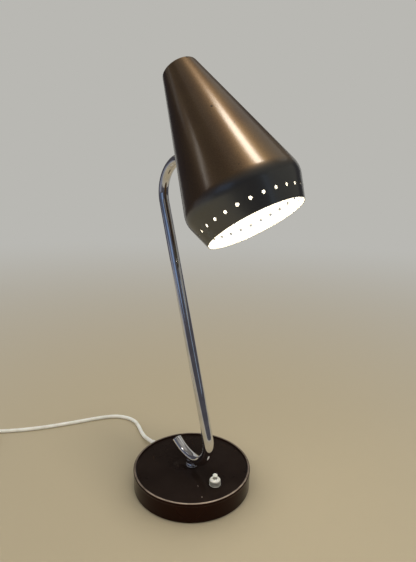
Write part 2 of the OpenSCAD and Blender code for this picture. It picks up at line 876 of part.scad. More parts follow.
// Frosted glass envelope, open at its neck where the cap closes it
module bulb_glass() {
    bow = 35;
    neck_end = holder_mouth - 1.5;
    outer = function (t) concat(
        arc([0, bulb_mid], bulb_r - t, -90, bow, 14),
        curve((bulb_r - t) * [cos(bow), sin(bow)] + [0, bulb_mid],
              (bulb_r - t) * [cos(bow), sin(bow)] + [0, bulb_mid] + 12 * [-sin(bow), cos(bow)],
              [bulb_neck_r - t, neck_end - 12], [bulb_neck_r - t, neck_end], 8)
    );
    wall_out = outer(0);
    wall_in = outer(glass_t);
    n = len(wall_in);
    color([1, 0.98, 0.92])
    in_shade() turned(concat(wall_out, [for (i = [n - 1:-1:0]) wall_in[i]]));
}

// ---- Free cord ----

// The cord from the base to the coil
module cord() {
    color([0.94, 0.94, 0.9])
    sweep(cord_route, cord_d, cord_sides, start = [-1, 0, 0],
          finish = [-sin(coil_from), cos(coil_from), 0]);
}

// Outer shape of the coil: two flat layers of turns, one on the other
module cord_coil() {
    inside = coil_in_r - lay_z;
    outside = coil_out_r + lay_z;
    soft = 2;
    color([0.94, 0.94, 0.9])
    translate([coil_at[0], coil_at[1], 0])
        turned(concat(
            arc([inside + soft, soft], soft, 180, 270, 4),
            arc([outside - soft, soft], soft, -90, 0, 4),
            arc([outside - soft, coil_h - soft], soft, 0, 90, 4),
            arc([inside + soft, coil_h - soft], soft, 90, 180, 4)
        ));
}

// The cord from the coil to the plug
module cord_end() {
    color([0.94, 0.94, 0.9])
    sweep(cord_end_route, cord_d, cord_sides,
          start = [-sin(coil_to), cos(coil_to), 0], finish = [cos(plug_turn), sin(plug_turn), 0]);
}

// Places a part at the back of the plug's sleeve, with +X towards the pins
module at_plug() {
    translate([plug_at[0], plug_at[1], plug_mid_z]) rotate([0, 0, plug_turn]) children();
}

// Flat two-pin plug with its ribbed sleeve
module plug_body() {
    color([0.94, 0.94, 0.9])
    at_plug() {
        rotate([0, 90, 0])
            turned([
                [0, 0], [3.6, 0], [3.9, 4], [3.4, 4], [3.4, 5.2], [4.0, 5.2],
                [4.3, 9], [3.7, 9], [3.7, 10.2], [4.4, 10.2], [4.8, 14], [4.1, 14],
                [4.1, 15.2], [4.9, 15.2], [5.2, 20], [0, 20]
            ]);
        intersection() {
            translate([0, 0, -7]) linear_extrude(14)
                polygon(concat(
                    arc([22, 7.5], 3, 180, 100, 4), arc([52, 14.6], 3, 90, 0, 4),
                    arc([52, -14.6], 3, 0, -90, 4), arc([22, -7.5], 3, -100, -180, 4)
                ));
            rotate([90, 0, 0]) translate([0, 0, -20]) linear_extrude(40)
                polygon(concat(
                    arc([21, 3.4], 2, 180, 98, 4), arc([53, 5], 2, 90, 0, 4),
                    arc([53, -5], 2, 0, -90, 4), arc([21, -3.4], 2, -98, -180, 4)
                ));
        }
    }
}

// The plug's two pins
module plug_pins() {
    color([0.8, 0.8, 0.78])
    at_plug() for (y = [-9, 9])
        translate([55, y, 0]) rotate([0, 90, 0])
            turned([[0, -3], [2, -3], [2, 17.8], [1, 19], [0, 19]], $fn = 24);
}

// ---- Output ----

base_shell();
base_weight();
base_felt();
collar_ring();
cord_relief();
inner_cord();
cord_clamp();
clamp_screws();
connector_block();
switch_housing();
switch_collar();
switch_spring();
push_button();
arm_saddle();
spring_washer();
stem_nut();
arm_tube();
tail_plug();
stem_flex();
knuckle_fork();
pivot_screw();
pivot_nut();
knuckle_tongue();
stud_washer();
stud_nut();
saddle_washer();
inner_saddle();
shade();
holder_bracket();
holder_nipple();
holder_nut();
holder_cap();
holder_body();
holder_insert();
holder_contact();
holder_thread();
bulb_cap();
bulb_glass();
cord();
cord_coil();
cord_end();
plug_body();
plug_pins();
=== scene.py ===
"""Looks of a desk lamp: an enamelled base, a bent chrome tube, a knuckle and a spun cone shade.

Lengths are in millimetres up to the point where a mesh is made, which turns them to metres.
The frame is the construction's: +X is the way the lamp faces, +Z is up, and the origin is the
middle of the base's underside.
"""

from math import atan, cos, pi, radians, sin, tan

import bmesh
import bpy
import numpy as np
from mathutils import Matrix, Vector


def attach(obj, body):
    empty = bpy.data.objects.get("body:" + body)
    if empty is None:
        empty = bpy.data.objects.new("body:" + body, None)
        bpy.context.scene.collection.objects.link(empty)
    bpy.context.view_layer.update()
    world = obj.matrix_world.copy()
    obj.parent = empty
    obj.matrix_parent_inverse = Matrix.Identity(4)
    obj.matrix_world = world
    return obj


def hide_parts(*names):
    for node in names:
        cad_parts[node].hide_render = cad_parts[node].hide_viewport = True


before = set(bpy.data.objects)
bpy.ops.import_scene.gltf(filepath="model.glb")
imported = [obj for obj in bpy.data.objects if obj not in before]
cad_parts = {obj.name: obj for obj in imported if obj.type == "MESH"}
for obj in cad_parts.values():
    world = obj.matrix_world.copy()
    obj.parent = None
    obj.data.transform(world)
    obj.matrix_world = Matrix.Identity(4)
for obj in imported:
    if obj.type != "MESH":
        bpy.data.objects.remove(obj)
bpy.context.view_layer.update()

MM = 0.001
WELD = 1e-6  # metres: points of a mesh that lie nearer than this are one

# ---- Sizes, in millimetres and degrees ----

# Base: radius, top of its bead, top of the plate sunk in it, and where the switch stands
BASE_R, BASE_TOP, PLATE_Z = 75.0, 25.0, 22.5
SWITCH_X = 46.5
# Tube: radii, height of its lowest centre, then tail, hook, stem and neck along its centre line
TUBE_R, BORE_R = 6.5, 5.5
TUBE_LOW_Z, TAIL_R, TAIL_ANGLE = 34.0, 64.0, 33.0
HOOK_R, LEAN, STEM_LEN, NECK_R = 32.5, 18.5, 297.0, 38.4
# Knuckle: from the tube's end to the tilt pin, and from the pin to the cone
FORK_REACH, KNUCKLE_REACH = 9.2, 9.0
# Shade: outer radii, heights of band and cone, reach of its two roundings, and sheet thickness
MOUTH_R, SHOULDER_R, TOP_R, BAND_H, CONE_H = 54.9, 65.7, 20.5, 32.4, 157.5
SHOULDER_CUT, TOP_CUT, SHADE_T = 8.05, 1.3, 1.0
# Vents: their number, radius, height over the mouth and where the first one is
VENTS, VENT_R, VENT_H, VENT_TURN = 28, 1.7, 13.1, 10.0
# Mounting: its height over the mouth, the stud's slope, and the shade's turn about the stud
MOUNT_H, STUD_SLOPE, SHADE_TURN = 112.0, 14.1, 9.6
# Cord: its thickness, where it comes out of its sleeve, and the plug at its far end
CORD_D, CORD_EXIT = 5.5, (-97.0, 0.0, 8.0)
PLUG_AT, PLUG_TURN = (-222.0, -269.0, 7.0), -10.0
# Coil: middle and radii, then the angles at which it starts, that it winds and that it climbs in
COIL_AT, COIL_IN_R, COIL_OUT_R = (-259.5, -219.7), 22.5, 42.0
COIL_FROM, COIL_SWEEP, COIL_RISE = 145.0, 2635.0, 90.0


# ---- Arrays ----

def unit(vectors):
    """The vectors along the last axis, each scaled to length 1."""
    return vectors / np.linalg.norm(vectors, axis=-1, keepdims=True)


def full_turn(count):
    """The angles that part a full turn into count even steps."""
    return np.linspace(0, 2 * pi, count, endpoint=False)


def run_along(points):
    """How far each point lies along the line through all of them: the sum of the steps so far."""
    return np.concatenate([[0], np.cumsum(np.linalg.norm(np.diff(points, axis=0), axis=1))])


def superellipse(a, power):
    """cos a and sin a, each to the power 2/p with its own sign: a rounded square when p is high."""
    return [np.sign(v) * np.abs(v) ** (2 / power) for v in (np.cos(a), np.sin(a))]


def grid(points, wrap_rows=False, wrap_columns=False):
    """Points and faces of a grid (rows, columns, 3), with a face between each four neighbours."""
    rows, columns = points.shape[:2]
    index = np.arange(rows * columns).reshape(rows, columns)
    if wrap_rows:
        index = np.vstack([index, index[:1]])
    if wrap_columns:
        index = np.hstack([index, index[:, :1]])
    cells = np.stack([index[:-1, :-1], index[1:, :-1], index[1:, 1:], index[:-1, 1:]], -1)
    return points.reshape(-1, 3), cells.reshape(-1, 4)


def rounded(corners, steps=6):
    """Profile through corners (r, z, cut): a parabola rounds each from cut before it to cut after.

    Point at t: (1-t)^2 times the start, plus 2t(1-t) times the corner, plus t^2 times the end.
    A point that falls on the one before it is left out.
    """
    corners = np.asarray(corners, float)
    at, cut = corners[:, None, :2], corners[:, None, 2:]
    start = at + cut * unit(np.roll(at, 1, 0) - at)
    end = at + cut * unit(np.roll(at, -1, 0) - at)
    t = np.linspace(0, 1, steps + 1)[None, :, None]
    points = ((1 - t) ** 2 * start + 2 * t * (1 - t) * at + t ** 2 * end).reshape(-1, 2)
    least = 1e-6
    apart = np.linalg.norm(np.diff(points, axis=0), axis=1) > least
    return points[np.concatenate([[True], apart])]


def lathe(profile, sides=128, closed=False, ripple=None):
    """Profile (r, z) carried round Z: x = r cos a, y = r sin a. ripple(a, z) is added to r."""
    profile = np.asarray(profile, float)
    a = full_turn(sides)[None, :]
    r, z = profile[:, :1] + 0 * a, profile[:, 1:] + 0 * a
    if ripple:
        r = r + ripple(a, z)
    return grid(np.stack([r * np.cos(a), r * np.sin(a), z], -1), closed, True)


def placed(part, matrix):
    """The part with its points carried by a 4 x 4 matrix, in millimetres."""
    points, *rest = part
    m = np.array(matrix)
    return (points @ m[:3, :3].T + m[:3, 3], *rest)


def smooth_line(points, step):
    """A Catmull-Rom curve through the points, then points along it a step apart.

    Between p1 and p2 it is half of
    (2 p1 + (p2 - p0) t + (2 p0 - 5 p1 + 4 p2 - p3) t^2 + (3 p1 - p0 - 3 p2 + p3) t^3).
    """
    per_span = 12
    p = np.asarray(points, float)
    p = np.vstack([2 * p[0] - p[1], p, 2 * p[-1] - p[-2]])
    t = np.linspace(0, 1, per_span, endpoint=False)[None, :, None]
    p0, p1, p2, p3 = p[:-3, None], p[1:-2, None], p[2:-1, None], p[3:, None]
    curve = 0.5 * (2 * p1 + (p2 - p0) * t + (2 * p0 - 5 * p1 + 4 * p2 - p3) * t ** 2
                   + (3 * p1 - p0 - 3 * p2 + p3) * t ** 3)
    curve = np.vstack([curve.reshape(-1, 3), p[-2]])
    far = run_along(curve)
    even = np.linspace(0, far[-1], int(round(far[-1] / step)) + 1)
    return np.stack([np.interp(even, far, curve[:, k]) for k in range(3)], 1)


def round_cord(line, radius, sides=20):
    """A circle carried along a line: centre + r (cos a times the level direction across the line
    + sin a times the direction square to both). A last ring of radius 0 closes each end."""
    way = unit(np.gradient(line, axis=0))
    across = unit(np.cross([0, 0, 1], way))
    up = np.cross(way, across)
    line, across, up = (np.concatenate([v[:1], v, v[-1:]])[:, None] for v in (line, across, up))
    radii = np.full((len(line), 1, 1), float(radius))
    radii[[0, -1]] = 0
    a = full_turn(sides)[None, :, None]
    return grid(line + radii * (np.cos(a) * across + np.sin(a) * up), False, True)


def turned(axis, degrees):
    """The turn by some degrees about an axis through the origin."""
    return Matrix.Rotation(radians(degrees), 4, axis)


def shifted(x, y, z):
    """The move by x, y and z."""
    return Matrix.Translation((x, y, z))


# ---- Places ----

STEM_FOOT = (HOOK_R * cos(radians(LEAN)), 0, TUBE_LOW_Z + HOOK_R * (1 + sin(radians(LEAN))))
NECK_END = (shifted(*STEM_FOOT) @ turned("Y", -LEAN) @ shifted(NECK_R, 0, STEM_LEN)
            @ turned("Y", LEAN) @ shifted(0, 0, NECK_R)).translation
ALONG_STUD = (shifted(NECK_END.x + FORK_REACH, 0, NECK_END.z) @ turned("Y", -STUD_SLOPE)
              @ turned("X", SHADE_TURN))
CONE_ANGLE = atan((SHOULDER_R - TOP_R) / CONE_H)
BAND_ANGLE = atan((SHOULDER_R - MOUTH_R) / BAND_H)


def cone_r(z):
    """Outer radius of the cone at height z over the mouth."""
    return SHOULDER_R - (z - BAND_H) * tan(CONE_ANGLE)


IN_SHADE = (ALONG_STUD @ shifted(KNUCKLE_REACH, 0, 0) @ Matrix.Rotation(-CONE_ANGLE, 4, "Y")
            @ shifted(cone_r(MOUNT_H), 0, -MOUNT_H))
AT_SWITCH = shifted(SWITCH_X, 0, PLATE_Z)
AT_PLUG = shifted(*PLUG_AT) @ turned("Z", PLUG_TURN)


# ---- Camera ----

def set_out(name, data):
    """A new object of that data, set out in the scene."""
    made = bpy.data.objects.new(name, data)
    bpy.context.scene.collection.objects.link(made)
    return made


def make_camera():
    """Stands in front of the lamp to its right, looks a little down, and leans by a degree.

    Its place is in metres, its angles are in radians, and focal and tall are in pixels.
    """
    at = (0.3911, -0.2971, 0.3611)
    heading, pitch, lean = 0.8873, 0.1896, 0.0175
    focal, tall = 420.0, 562.0
    right = np.array([cos(heading), sin(heading), 0])
    ahead = np.array([-sin(heading) * cos(pitch), cos(heading) * cos(pitch), -sin(pitch)])
    up = np.cross(right, ahead)
    data = bpy.data.cameras.new("camera")
    data.sensor_fit, data.sensor_height = "VERTICAL", 24.0
    data.lens = focal / tall * data.sensor_height
    data.clip_start, data.clip_end = 0.02, 60
    made = set_out("camera", data)
    axes = Matrix(np.stack([cos(lean) * right + sin(lean) * up,
                            cos(lean) * up - sin(lean) * right, -ahead], 1).tolist())
    made.matrix_world = Matrix.LocRotScale(Vector(at), axes.to_quaternion(), None)
    bpy.context.scene.camera = made


make_camera()


# ---- Nodes of a finish ----

def linear(hex_value):
    """Linear RGBA of an sRGB hex value: ((c + 0.055) / 1.055)^2.4, or c / 12.92 when dark."""
    c = np.array([int(hex_value[k:k + 2], 16) / 255 for k in (1, 3, 5)])
    return (*np.where(c > 0.04045, ((c + 0.055) / 1.055) ** 2.4, c / 12.92).tolist(), 1.0)


def feed(tree, node, sockets):
    """Gives each input of a node its value, or links the output that is given in its place.
    A node given there stands for its first output in use."""
    for key, value in sockets.items():
        if isinstance(value, bpy.types.Node):
            value = next(output for output in value.outputs if output.enabled)
        if isinstance(value, bpy.types.NodeSocket):
            tree.links.new(value, node.inputs[key])
        else:
            node.inputs[key].default_value = value


def add(tree, kind, sockets=None, stops=(), **settings):
    """Adds a node, such as a TexNoise, with its settings and inputs. A colour ramp has stops,
    each a position and a hex value."""
    made = tree.nodes.new("ShaderNode" + kind)
    for key, value in settings.items():
        setattr(made, key, value)
    feed(tree, made, sockets or {})
    if stops:
        elements = made.color_ramp.elements
        while len(elements) < len(stops):
            elements.new(0.5)
        for element, (at, hex_value) in zip(elements, stops):
            element.position, element.color = at, linear(hex_value)
    return made


def per_mm(size_mm):
    """Texture scale at which one feature of the pattern is size_mm long."""
    return 1 / (size_mm * MM)


def begin(name, **plain):
    """A new material with plain values on its shader, such as Metallic=1.0.

    Returns it, its tree and the place on the object.
    """
    made = bpy.data.materials.new(name)
    made.use_nodes = True
    tree = made.node_tree
    feed(tree, tree.nodes["Principled BSDF"],
         {key.replace("_", " "): value for key, value in plain.items()})
    return made, tree, add(tree, "TexCoord").outputs["Object"]


def dress(made, colour, rough, relief, relief_mm):
    """Links colour and roughness to the shader, and the relief by a bump relief_mm tall."""
    tree = made.node_tree
    bump = add(tree, "Bump", {"Height": relief, "Strength": 1.0, "Distance": relief_mm * MM})
    feed(tree, tree.nodes["Principled BSDF"], {
        "Base Color": colour, "Roughness": rough, "Normal": bump})
    return made


def from_axis(tree, place):
    """Distance from the upright axis through the origin."""
    level = add(tree, "VectorMath", {0: place, 1: (1, 1, 0)}, operation="MULTIPLY")
    return add(tree, "VectorMath", {0: level}, operation="LENGTH")


def mark(tree, place, at_mm, half_mm, spin=0.0):
    """How far a point lies in a small oval mark, from 0 outside to 1 within."""
    oval = add(tree, "Mapping", {
        "Vector": place, "Location": Vector(at_mm) * MM, "Rotation": (0, 0, radians(spin)),
        "Scale": Vector(half_mm) * MM}, vector_type="TEXTURE")
    far = add(tree, "VectorMath", {0: oval}, operation="LENGTH")
    return add(tree, "MapRange", {"Value": far, "From Min": 1.0, "From Max": 0.5})


# ---- Finishes ----

def stoved_enamel():
    """Stoving enamel, sprayed on pressed steel: ox-blood brown and half glossy, with a faint
    orange peel. A film of dust greys its plate. Its bead's crest is rubbed paler and has small
    chips, and a painted highlight makes the crest paler still on the front, under the shade's
    lit mouth. Two short rubs show on the plate."""
    bead_foot, dust_edge = 72.2, 70.5
    crest_low, crest_high = 24.65, 24.98
    mouth_lit_side = (0.87, -0.48, 0)
    made, tree, place = begin("stoved_enamel", IOR=1.27, Specular_Tint=(0.9, 0.5, 0.4, 1.0))
    cloud = add(tree, "TexNoise", {"Vector": place, "Scale": per_mm(35), "Detail": 4.0})
    gloss = add(tree, "ValToRGB", {"Fac": cloud}, [(0.3, "#150704"), (0.7, "#1b0905")])
    dust = add(tree, "ValToRGB", {"Fac": cloud}, [(0.3, "#1d1613"), (0.7, "#251d19")])
    on_plate = add(tree, "MapRange", {
        "Value": from_axis(tree, place), "From Min": bead_foot * MM, "From Max": dust_edge * MM})
    brown = add(tree, "Mix", {0: on_plate, 6: gloss, 7: dust}, data_type="RGBA")
    height = add(tree, "SeparateXYZ", {"Vector": place}).outputs["Z"]
    crest = add(tree, "MapRange", {
        "Value": height, "From Min": crest_low * MM, "From Max": crest_high * MM})
    rub = add(tree, "TexNoise", {"Vector": place, "Scale": per_mm(9), "Detail": 6.0})
    rubbed = add(tree, "Math", {0: crest, 1: rub}, operation="MULTIPLY")
    # Painted highlight: the crest grows paler towards the front, where the lit mouth shines on it
    ahead = add(tree, "VectorMath", {0: place, 1: mouth_lit_side}, operation="DOT_PRODUCT")
    front_highlight = add(tree, "MapRange", {
        "Value": ahead, "From Min": 0.45 * BASE_R * MM, "From Max": BASE_R * MM,
        "To Min": 0.7, "To Max": 2.0})
    wear_and_highlight = add(tree, "Math", {0: rubbed, 1: front_highlight}, operation="MULTIPLY")
    # Crest paler: rubbed enamel, made brighter on the front by the painted highlight
    worn_and_highlit = add(tree, "Mix", {0: wear_and_highlight, 6: brown, 7: linear("#b5a494")}, data_type="RGBA")
    grit = add(tree, "TexNoise", {"Vector": place, "Scale": per_mm(2.6), "Detail": 3.0})
    chip = add(tree, "MapRange", {"Value": grit, "From Min": 0.67, "From Max": 0.7})
    chips = add(tree, "Math", {0: chip, 1: crest}, operation="MULTIPLY")
    rubs = add(tree, "Math", {
        0: mark(tree, place, (36.5, -18.3, PLATE_Z), (1.8, 0.3, 2), -30),
        1: mark(tree, place, (54.5, -26.3, PLATE_Z), (1.5, 0.5, 2), -38)}, operation="ADD")
    bare = add(tree, "Math", {0: chips, 1: rubs}, operation="MAXIMUM")
    colour = add(tree, "Mix", {0: bare, 6: worn_and_highlit, 7: linear("#a8978a")}, data_type="RGBA")
    rough = add(tree, "MapRange", {
        "Value": cloud, "From Min": 0.3, "From Max": 0.7, "To Min": 0.15, "To Max": 0.2})
    peel = add(tree, "TexNoise", {"Vector": place, "Scale": per_mm(1.8), "Detail": 1.0})
    return dress(made, colour, rough, peel, 0.006)


# Dust nibs on the cone: angle, height and half width
NIBS = ((-30.4, 116.2, 1.5), (-21.7, 96.3, 0.8), (-17.9, 89.5, 0.9), (-37.9, 44.8, 0.7),
        (-9.9, 188.4, 1.6))


def metallic_lacquer():
    """Metallic stoving lacquer over a spun cone: copper-brown flake under a clear coat. It glows
    copper round a soft pale streak and goes a neutral grey below the shoulder. It
    shows dust nibs, faint spinning rings and a rubbed edge round the top."""
    top = BAND_H + CONE_H
    made, tree, place = begin(
        "metallic_lacquer", Metallic=1.0, Specular_Tint=(0.25, 0.25, 0.25, 1.0),
        Coat_Weight=1.0, Coat_Roughness=0.19, Coat_IOR=1.5)
    local = add(tree, "Mapping", {
        "Vector": place, "Location": IN_SHADE.translation * MM,
        "Rotation": IN_SHADE.to_euler()}, vector_type="TEXTURE")
    cloud = add(tree, "TexNoise", {"Vector": place, "Scale": per_mm(48), "Detail": 3.0})
    brown = add(tree, "ValToRGB", {"Fac": cloud}, [(0.3, "#634d36"), (0.7, "#6e593d")])
    # Flake is some 0.05 mm across; drawn at 0.8 mm, the finest that shows
    flake = add(tree, "TexVoronoi", {"Vector": place, "Scale": per_mm(0.8)})
    chance = add(tree, "SeparateColor", {"Color": flake.outputs["Color"]}).outputs["Red"]
    glint = add(tree, "MapRange", {"Value": chance, "To Min": 0.88, "To Max": 1.12})
    flaked = add(tree, "VectorMath", {0: brown, 1: glint}, operation="MULTIPLY")
    height = add(tree, "SeparateXYZ", {"Vector": local}).outputs["Z"]
    # Below the shoulder the colour goes a neutral grey
    below_shoulder = add(tree, "MapRange", {
        "Value": height, "From Min": (BAND_H + 8) * MM, "From Max": (BAND_H - 4) * MM},
        interpolation_type="SMOOTHSTEP")
    band_greyed = add(tree, "Mix", {0: below_shoulder, 6: flaked, 7: linear("#5e5f5e")}, data_type="RGBA")
    near_top = add(tree, "MapRange", {
        "Value": height, "From Min": (top - 1.3) * MM, "From Max": (top - 0.7) * MM,
        "To Max": 0.9})
    off_top = add(tree, "MapRange", {
        "Value": height, "From Min": (top - 0.12) * MM, "From Max": (top - 0.02) * MM,
        "To Min": 1.0, "To Max": 0.0})
    edge = add(tree, "Math", {0: near_top, 1: off_top}, operation="MULTIPLY")
    colour = add(tree, "Mix", {0: edge, 6: band_greyed, 7: linear("#b9a48c")}, data_type="RGBA")
    for angle, z, size in NIBS:
        at = turned("Z", angle) @ Vector((cone_r(z), 0, z))
        nib = mark(tree, place, IN_SHADE @ at, (size, size, size))
        colour = add(tree, "Mix", {0: nib, 6: colour, 7: linear("#241a13")}, data_type="RGBA")
    # Squeezed across the axis, so that the noise runs in rings
    rings = add(tree, "Mapping", {"Vector": local, "Scale": (0.03, 0.03, 1.0)})
    spun = add(tree, "TexNoise", {"Vector": rings, "Scale": per_mm(5), "Detail": 3.0})
    rough = add(tree, "MapRange", {
        "Value": cloud, "From Min": 0.3, "From Max": 0.7, "To Min": 0.40, "To Max": 0.44})
    return dress(made, colour, rough, spun, 0.004)


def white_enamel():
    """White stoving enamel inside the shade: even, warm white and softly reflective, so that it
    glows when lit."""
    made, tree, place = begin("white_enamel")
    cloud = add(tree, "TexNoise", {"Vector": place, "Scale": per_mm(25), "Detail": 3.0})
    colour = add(tree, "ValToRGB", {"Fac": cloud}, [(0.3, "#e8e5dc"), (0.7, "#f4f2ec")])
    rough = add(tree, "MapRange", {"Value": cloud, "To Min": 0.35, "To Max": 0.5})
    peel = add(tree, "TexNoise", {"Vector": place, "Scale": per_mm(1.8), "Detail": 1.0})
    return dress(made, colour, rough, peel, 0.01)


def chromium_plate():
    """Bright chromium over polished steel: a clear mirror with dark pits like pinpricks, clouded
    where hands have touched it."""
    made, tree, place = begin("chromium_plate", Metallic=1.0)
    cloud = add(tree, "TexNoise", {"Vector": place, "Scale": per_mm(14), "Detail": 5.0})
    cells = add(tree, "TexVoronoi", {"Vector": place, "Scale": per_mm(3.2)})
    chance = add(tree, "SeparateColor", {"Color": cells.outputs["Color"]}).outputs["Red"]
    few = add(tree, "Math", {0: chance, 1: 0.8}, operation="GREATER_THAN")
    near = add(tree, "MapRange", {
        "Value": cells.outputs["Distance"], "From Min": 0.12, "From Max": 0.06})
    pits = add(tree, "Math", {0: few, 1: near}, operation="MULTIPLY")
    bright = add(tree, "ValToRGB", {"Fac": cloud}, [(0.35, "#d3d4d8"), (0.65, "#e4e4e6")])
    colour = add(tree, "Mix", {0: pits, 6: bright, 7: linear("#857e78")}, data_type="RGBA")
    rough = add(tree, "MapRange", {
        "Value": cloud, "From Min": 0.42, "From Max": 0.72, "To Min": 0.035, "To Max": 0.13})
    grain = add(tree, "TexNoise", {"Vector": place, "Scale": per_mm(6), "Detail": 1.0})
    return dress(made, colour, rough, grain, 0.006)


def cast_iron():
    """Grey iron cast in sand: dark, dull and grainy, with a little rust in the hollows."""
    made, tree, place = begin("cast_iron", Metallic=0.6)
    cloud = add(tree, "TexNoise", {"Vector": place, "Scale": per_mm(12), "Detail": 6.0})
    colour = add(tree, "ValToRGB", {"Fac": cloud}, [
        (0.35, "#2b2a2a"), (0.6, "#464443"), (0.72, "#5a4438")])
    rough = add(tree, "MapRange", {"Value": cloud, "To Min": 0.55, "To Max": 0.9})
    sand = add(tree, "TexNoise", {"Vector": place, "Scale": per_mm(1), "Detail": 4.0})
    return dress(made, colour, rough, sand, 0.2)


def wool_felt():
    """Pressed wool felt, dark green: matted fibres that scatter light and never shine."""
    made, tree, place = begin("wool_felt", Sheen_Weight=0.3, Sheen_Roughness=0.5)
    fibre = add(tree, "TexNoise", {
        "Vector": place, "Scale": per_mm(1.2), "Detail": 6.0, "Distortion": 1.5})
    colour = add(tree, "ValToRGB", {"Fac": fibre}, [(0.3, "#14261b"), (0.7, "#2c4a37")])
    rough = add(tree, "MapRange", {"Value": fibre, "To Min": 0.9, "To Max": 1.0})
    return dress(made, colour, rough, fibre, 0.3)


def zinc_plate():
    """Mild steel, zinc plated: dull silver with a bluish cloud."""
    made, tree, place = begin("zinc_plate", Metallic=1.0)
    cloud = add(tree, "TexNoise", {"Vector": place, "Scale": per_mm(4), "Detail": 4.0})
    colour = add(tree, "ValToRGB", {"Fac": cloud}, [(0.3, "#8c929a"), (0.7, "#bdbdbb")])
    rough = add(tree, "MapRange", {"Value": cloud, "To Min": 0.28, "To Max": 0.48})
    return dress(made, colour, rough, cloud, 0.01)


def spring_steel():
    """Spring steel, tempered and oiled: grey-brown with drawing lines along it."""
    made, tree, place = begin("spring_steel", Metallic=1.0)
    lines = add(tree, "TexNoise", {"Vector": place, "Scale": per_mm(2), "Detail": 6.0})
    colour = add(tree, "ValToRGB", {"Fac": lines}, [(0.3, "#64605b"), (0.7, "#918d86")])
    rough = add(tree, "MapRange", {"Value": lines, "To Min": 0.25, "To Max": 0.4})
    return dress(made, colour, rough, lines, 0.01)


def turned_brass():
    """Brass turned on a lathe: warm yellow with a brown tarnish that gathers in patches."""
    made, tree, place = begin("turned_brass", Metallic=1.0)
    tarnish = add(tree, "TexNoise", {"Vector": place, "Scale": per_mm(5), "Detail": 5.0})
    colour = add(tree, "ValToRGB", {"Fac": tarnish}, [
        (0.3, "#7c6032"), (0.55, "#bd9c55"), (0.75, "#cfb06a")])
    rough = add(tree, "MapRange", {"Value": tarnish, "To Min": 0.45, "To Max": 0.2})
    return dress(made, colour, rough, tarnish, 0.01)


def urea_moulding():
    """Urea resin, compression moulded: ivory white and half glossy. It goes grey low between
    the knurls, partly dirt and partly painted shade, and round the plunger under its cap,
    which is painted shade."""
    # Radii and heights over the plate: the first of each pair is plain ivory, the second fully grey
    knurl_r, knurl_z = (6.88, 6.6), (7, 6)
    stalk_r, stalk_z = (2.6, 2.1), (11.2, 10.5)
    made, tree, place = begin(
        "urea_moulding", IOR=1.55, Subsurface_Weight=0.05, Subsurface_Scale=0.002)
    from_switch = add(tree, "VectorMath", {0: place, 1: Vector((SWITCH_X, 0, 0)) * MM},
                      operation="SUBTRACT")
    radius = from_axis(tree, from_switch)
    height = add(tree, "SeparateXYZ", {"Vector": place}).outputs["Z"]
    # Partly dirt and partly painted shade, low between the knurls
    low = add(tree, "MapRange", {
        "Value": height, "From Min": (PLATE_Z + knurl_z[0]) * MM,
        "From Max": (PLATE_Z + knurl_z[1]) * MM})
    groove = add(tree, "MapRange", {
        "Value": radius, "From Min": knurl_r[0] * MM, "From Max": knurl_r[1] * MM})
    knurl_dirt_and_shade = add(tree, "Math", {0: low, 1: groove}, operation="MULTIPLY")
    # Painted shade: the cap's shadow on the plunger's stalk
    stalk = add(tree, "MapRange", {
        "Value": radius, "From Min": stalk_r[0] * MM, "From Max": stalk_r[1] * MM,
        "To Max": 0.75})
    below = add(tree, "MapRange", {
        "Value": height, "From Min": (PLATE_Z + stalk_z[0]) * MM,
        "From Max": (PLATE_Z + stalk_z[1]) * MM})
    stalk_shade = add(tree, "Math", {0: stalk, 1: below}, operation="MULTIPLY")
    dirt_and_shade = add(tree, "Math", {0: knurl_dirt_and_shade, 1: stalk_shade}, operation="MAXIMUM")
    cloud = add(tree, "TexNoise", {"Vector": place, "Scale": per_mm(5), "Detail": 4.0})
    ivory = add(tree, "ValToRGB", {"Fac": cloud}, [(0.3, "#f3f1e6"), (0.7, "#fbfaf2")])
    colour = add(tree, "Mix", {0: dirt_and_shade, 6: ivory, 7: linear("#77726a")}, data_type="RGBA")
    rough = add(tree, "MapRange", {"Value": cloud, "To Min": 0.25, "To Max": 0.42})
    return dress(made, colour, rough, cloud, 0.01)


def soft_vinyl():
    """Plasticised vinyl, extruded and moulded: white gone faintly cream, satin, with grey from
    handling."""
    made, tree, place = begin(
        "soft_vinyl", IOR=1.53, Subsurface_Weight=0.05, Subsurface_Scale=0.002)
    cloud = add(tree, "TexNoise", {"Vector": place, "Scale": per_mm(14), "Detail": 5.0})
    colour = add(tree, "ValToRGB", {"Fac": cloud}, [
        (0.28, "#dcdad1"), (0.45, "#eeede6"), (0.7, "#f6f5f0")])
    rough = add(tree, "MapRange", {"Value": cloud, "To Min": 0.5, "To Max": 0.36})
    drag = add(tree, "TexNoise", {"Vector": place, "Scale": per_mm(1.5), "Detail": 2.0})
    return dress(made, colour, rough, drag, 0.02)


def polyamide():
    """Polyamide, injection moulded: milky and matte."""
    made, tree, place = begin("polyamide", Subsurface_Weight=0.1, Subsurface_Scale=0.002)
    cloud = add(tree, "TexNoise", {"Vector": place, "Scale": per_mm(5), "Detail": 3.0})
    colour = add(tree, "ValToRGB", {"Fac": cloud}, [(0.3, "#cfccc0"), (0.7, "#e2e0d6")])
    rough = add(tree, "MapRange", {"Value": cloud, "To Min": 0.5, "To Max": 0.62})
    return dress(made, colour, rough, cloud, 0.02)


